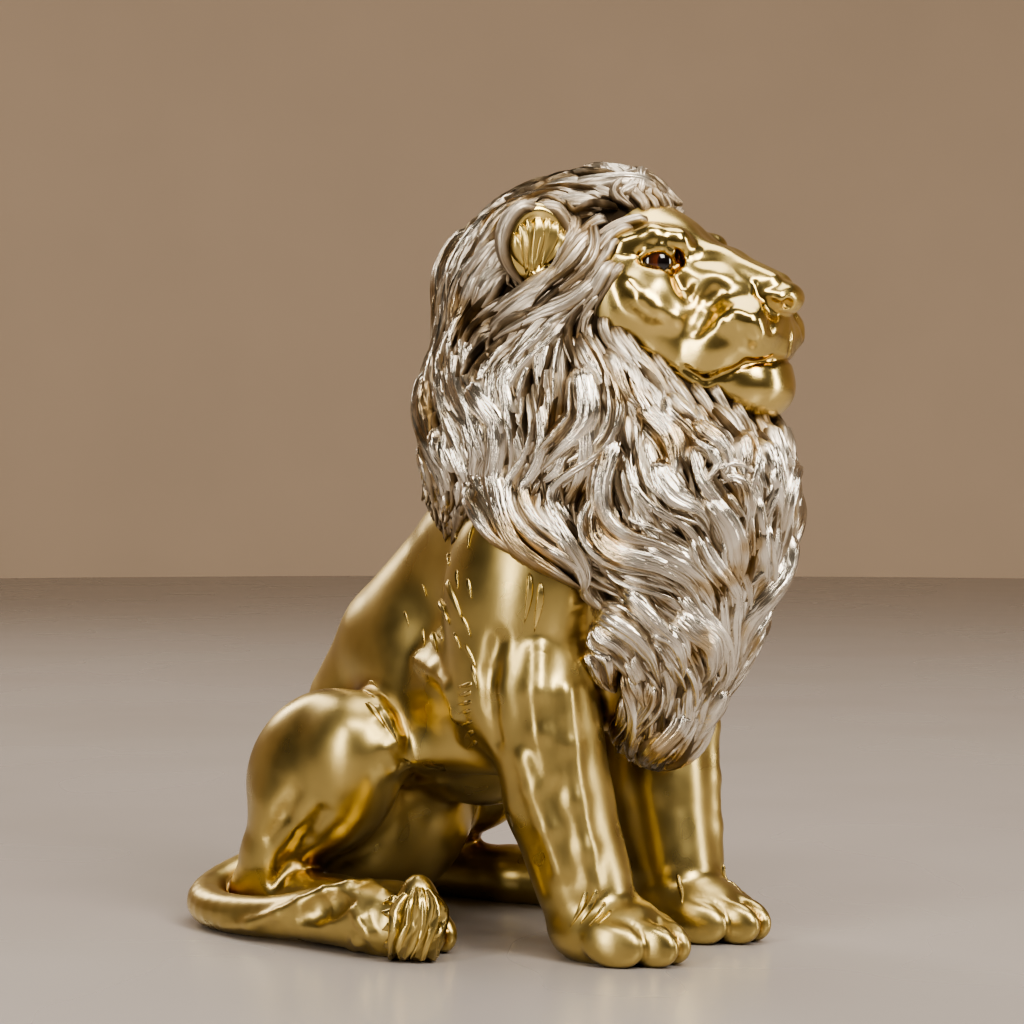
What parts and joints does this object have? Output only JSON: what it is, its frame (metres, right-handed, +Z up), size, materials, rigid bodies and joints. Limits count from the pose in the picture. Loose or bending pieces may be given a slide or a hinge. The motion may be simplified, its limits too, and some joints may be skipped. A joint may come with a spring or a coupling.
{
  "type": "lion figurine",
  "caption": "Seated lion figurine cast in one piece, with a smooth gilded body, a silvered mane of carved locks and a tail curled round the right hind foot.",
  "frame": {"origin": "on the ground under the middle of the figure's box", "axes": "+Z up, the body faces -Y, the lion's left side is +X"},
  "size_m": [0.1416, 0.2002, 0.24],
  "materials": {
    "gilding": "satin-polished gold plating with darker hollows",
    "silvering": "antiqued silver leaf with brown hollows, on the locks of the mane",
    "eyes": "dark amber enamel with a black pupil"
  },
  "bodies": {
    "root": {"lion": "gilding"}
  },
  "joints": []
}
